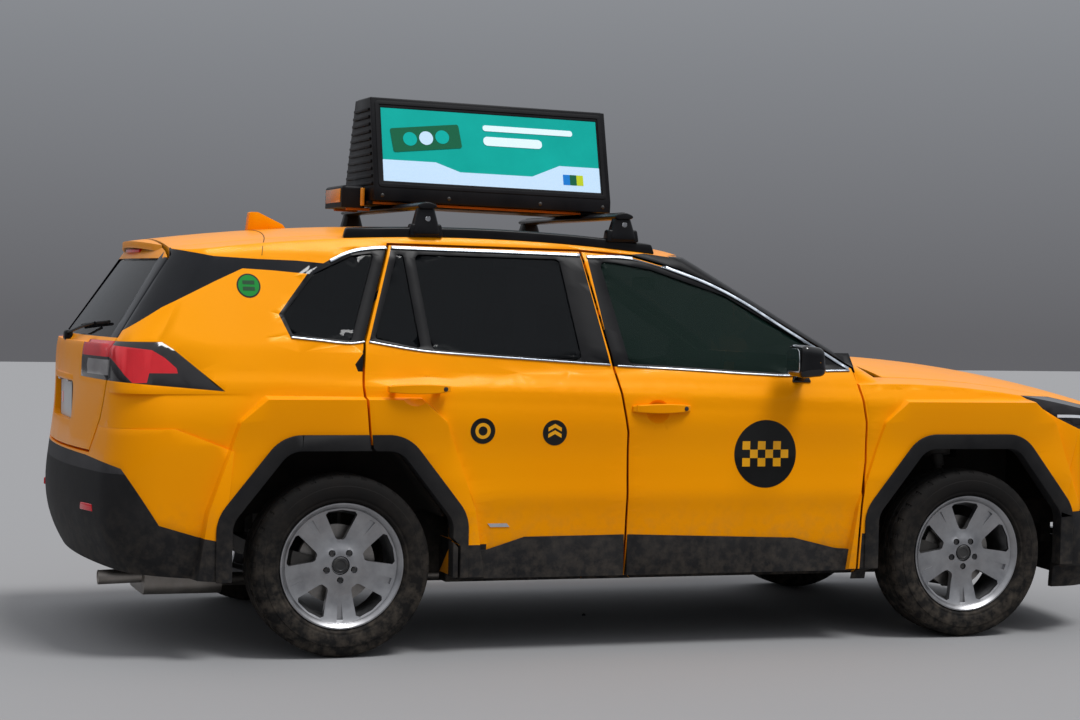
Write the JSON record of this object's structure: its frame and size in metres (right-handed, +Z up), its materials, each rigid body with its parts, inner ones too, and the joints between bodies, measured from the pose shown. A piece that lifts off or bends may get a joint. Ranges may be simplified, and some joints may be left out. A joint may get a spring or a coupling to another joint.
{
  "type": "taxi cab",
  "caption": "Compact crossover taxi cab with hinged doors, bonnet and tailgate, steered front wheels, roof bars and a wedge-shaped display box.",
  "frame": {"origin": "on the ground below the middle of the car's length and width", "axes": "+X forward, +Y to the car's left, +Z up"},
  "size_m": [4.5967, 2.19, 2.198],
  "materials": {
    "taxi_paint": "gloss",
    "black_cladding": "grained matte",
    "window_glass": "tinted",
    "red_lens": "gloss",
    "clear_lens": "gloss",
    "rack_black": "satin",
    "display_black": "satin",
    "display_panel": "gloss",
    "amber_lens": "gloss",
    "seat_cover": "satin",
    "dash_plastic": "matte",
    "floor_paint": "matte",
    "cast_metal": "matte",
    "exhaust_steel": "satin",
    "wheel_alloy": "satin",
    "tyre_rubber": "matte"
  },
  "bodies": {
    "body": {"floor_pan": "floor_paint", "side_frames": "taxi_paint", "roof_panel": "taxi_paint", "cowl": "black_cladding", "fenders": "taxi_paint", "front_bumper": "taxi_paint", "front_bumper_lower": "black_cladding", "grilles": "black_cladding", "headlamps": "clear_lens", "rear_bumper": "taxi_paint", "rear_bumper_lower": "black_cladding", "tail_lamps": "red_lens", "windscreen": "window_glass", "quarter_glass": "window_glass", "arch_bands": "black_cladding", "roof_rails": "rack_black", "crossbars": "rack_black", "display_tray": "display_black", "display_box": "display_black", "display_screens": "display_panel", "roof_light": "amber_lens", "shark_fin": "taxi_paint", "front_seats": "seat_cover", "rear_seat": "seat_cover", "dashboard": "dash_plastic", "engine": "cast_metal", "fuel_tank": "floor_paint", "exhaust": "exhaust_steel", "front_suspension": "cast_metal", "rear_suspension": "cast_metal"},
    "bonnet": {"bonnet": "taxi_paint"},
    "tailgate": {"tailgate": "taxi_paint", "tailgate_glass": "window_glass", "tailgate_lamps": "red_lens"},
    "door_front_right": {"door_front_right": "taxi_paint", "glass_front_right": "window_glass", "cladding_front_right": "black_cladding", "mirror_right": "black_cladding"},
    "door_rear_right": {"door_rear_right": "taxi_paint", "glass_rear_right": "window_glass", "cladding_rear_right": "black_cladding"},
    "knuckle_right": {"knuckle_right": "cast_metal"},
    "wheel_front_right": {"rim_front_right": "wheel_alloy", "tyre_front_right": "tyre_rubber"},
    "wheel_rear_right": {"rim_rear_right": "wheel_alloy", "tyre_rear_right": "tyre_rubber"},
    "door_front_left": {"door_front_left": "taxi_paint", "glass_front_left": "window_glass", "cladding_front_left": "black_cladding", "mirror_left": "black_cladding"},
    "door_rear_left": {"door_rear_left": "taxi_paint", "glass_rear_left": "window_glass", "cladding_rear_left": "black_cladding"},
    "knuckle_left": {"knuckle_left": "cast_metal"},
    "wheel_front_left": {"rim_front_left": "wheel_alloy", "tyre_front_left": "tyre_rubber"},
    "wheel_rear_left": {"rim_rear_left": "wheel_alloy", "tyre_rear_left": "tyre_rubber"}
  },
  "joints": [
    {"name": "door_front_right_hinge", "type": "hinge", "parent": "body", "child": "door_front_right", "pos_m": [0.818, -0.866, 0.7], "axis": [0, 0, 1], "range_deg": [0, 65]},
    {"name": "door_rear_right_hinge", "type": "hinge", "parent": "body", "child": "door_rear_right", "pos_m": [-0.24, -0.866, 0.7], "axis": [0, 0, 1], "range_deg": [0, 65]},
    {"name": "steer_right", "type": "hinge", "parent": "body", "child": "knuckle_right", "pos_m": [1.373, -0.735, 0.215], "axis": [0, 0.2071, 0.9783], "range_deg": [-33, 33]},
    {"name": "wheel_front_right_spin", "type": "hinge", "parent": "knuckle_right", "child": "wheel_front_right", "pos_m": [1.373, -0.8, 0.35], "axis": [0, 1, 0], "continuous": true},
    {"name": "wheel_rear_right_spin", "type": "hinge", "parent": "body", "child": "wheel_rear_right", "pos_m": [-1.317, -0.8, 0.35], "axis": [0, 1, 0], "continuous": true},
    {"name": "door_front_left_hinge", "type": "hinge", "parent": "body", "child": "door_front_left", "pos_m": [0.818, 0.866, 0.7], "axis": [0, 0, -1], "range_deg": [0, 65]},
    {"name": "door_rear_left_hinge", "type": "hinge", "parent": "body", "child": "door_rear_left", "pos_m": [-0.24, 0.866, 0.7], "axis": [0, 0, -1], "range_deg": [0, 65]},
    {"name": "steer_left", "type": "hinge", "parent": "body", "child": "knuckle_left", "pos_m": [1.373, 0.735, 0.215], "axis": [0, -0.2071, 0.9783], "range_deg": [-33, 33]},
    {"name": "wheel_front_left_spin", "type": "hinge", "parent": "knuckle_left", "child": "wheel_front_left", "pos_m": [1.373, 0.8, 0.35], "axis": [0, 1, 0], "continuous": true},
    {"name": "wheel_rear_left_spin", "type": "hinge", "parent": "body", "child": "wheel_rear_left", "pos_m": [-1.317, 0.8, 0.35], "axis": [0, 1, 0], "continuous": true},
    {"name": "tailgate_hinge", "type": "hinge", "parent": "body", "child": "tailgate", "pos_m": [-1.87, 0, 1.552], "axis": [0, 1, 0], "range_deg": [0, 75]},
    {"name": "bonnet_hinge", "type": "hinge", "parent": "body", "child": "bonnet", "pos_m": [1.065, 0, 1.112], "axis": [0, -1, 0], "range_deg": [0, 50]}
  ],
  "couplings": [
    {"joint": "steer_left", "follows": "steer_right", "ratio": 1}
  ]
}
